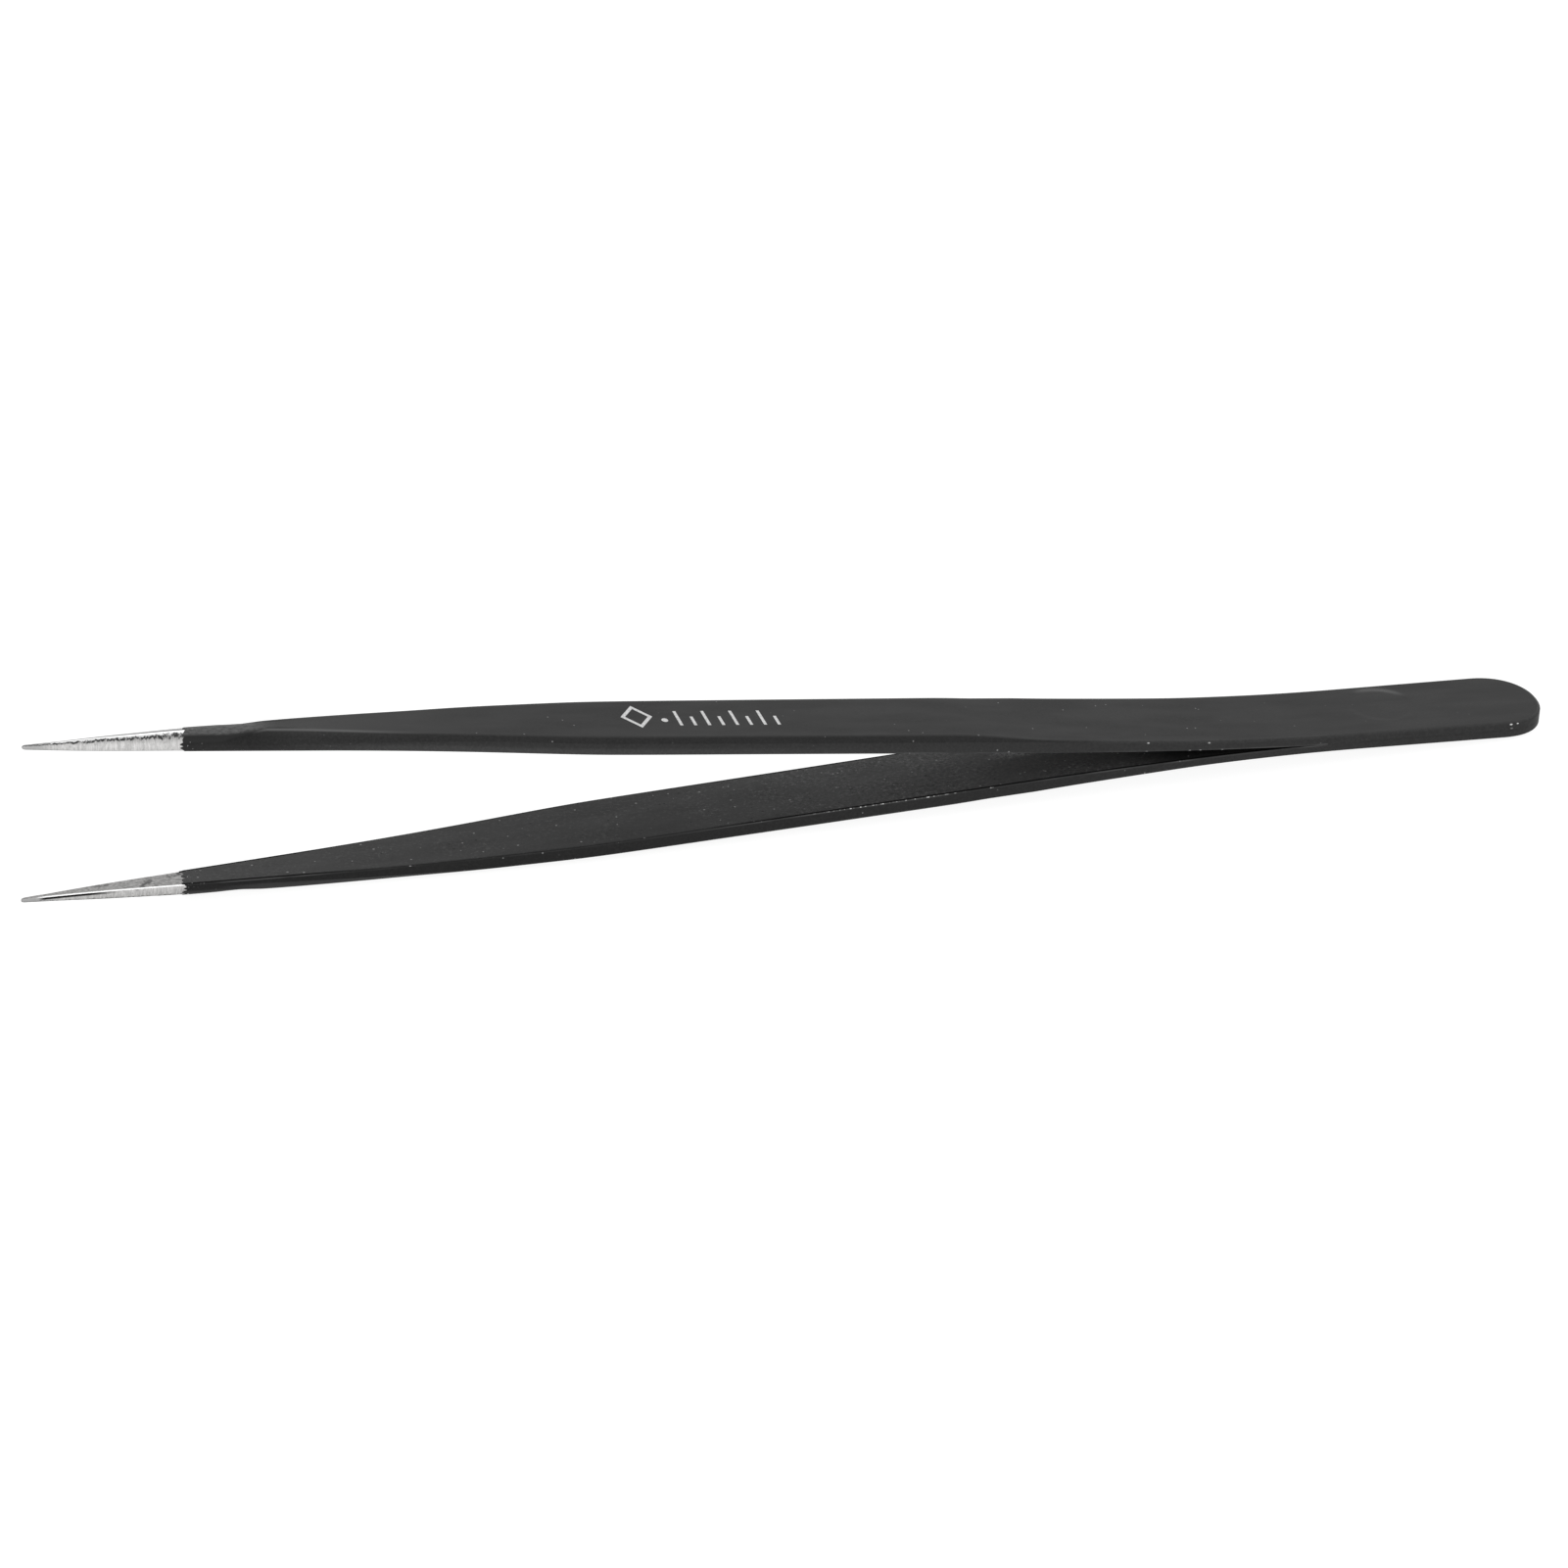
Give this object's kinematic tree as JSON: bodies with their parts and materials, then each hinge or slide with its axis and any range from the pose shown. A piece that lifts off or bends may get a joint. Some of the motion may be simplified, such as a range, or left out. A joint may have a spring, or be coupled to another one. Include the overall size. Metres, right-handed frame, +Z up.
{
  "type": "precision tweezers",
  "caption": "Straight precision tweezers: two spring-steel arms spot-welded at a rounded heel, tapering to fine bare points, with a black static-dissipative coating.",
  "frame": {"origin": "middle of the bounding box, on the table that the tweezers lie on", "axes": "+X towards the welded heel (the points are at -X), +Y across the width of the arms, +Z up from the table"},
  "size_m": [0.1402, 0.0096, 0.0167],
  "materials": {
    "spring_steel": "ground and blasted points",
    "weld_metal": "as welded",
    "black_coating": "matte, fine grain, small specks of wear"
  },
  "bodies": {
    "heel": {"upper_heel": "spring_steel", "lower_heel": "spring_steel", "heel_coating": "black_coating", "weld_nugget_front": "weld_metal", "weld_nugget_rear": "weld_metal"},
    "upper_arm": {"upper_blade": "spring_steel", "upper_blade_coating": "black_coating"},
    "lower_arm": {"lower_blade": "spring_steel", "lower_blade_coating": "black_coating"}
  },
  "joints": [
    {"name": "upper_arm_spring", "type": "hinge", "parent": "heel", "child": "upper_arm", "pos_m": [0.03719, 0, 0.00353], "axis": [0, -1, 0], "range_deg": [0, 3.86], "stiffness_Nm_per_rad": 1.35},
    {"name": "lower_arm_spring", "type": "hinge", "parent": "heel", "child": "lower_arm", "pos_m": [0.0371, 0, 0.00199], "axis": [0, 1, 0], "range_deg": [0, 3.86], "stiffness_Nm_per_rad": 1.35}
  ]
}
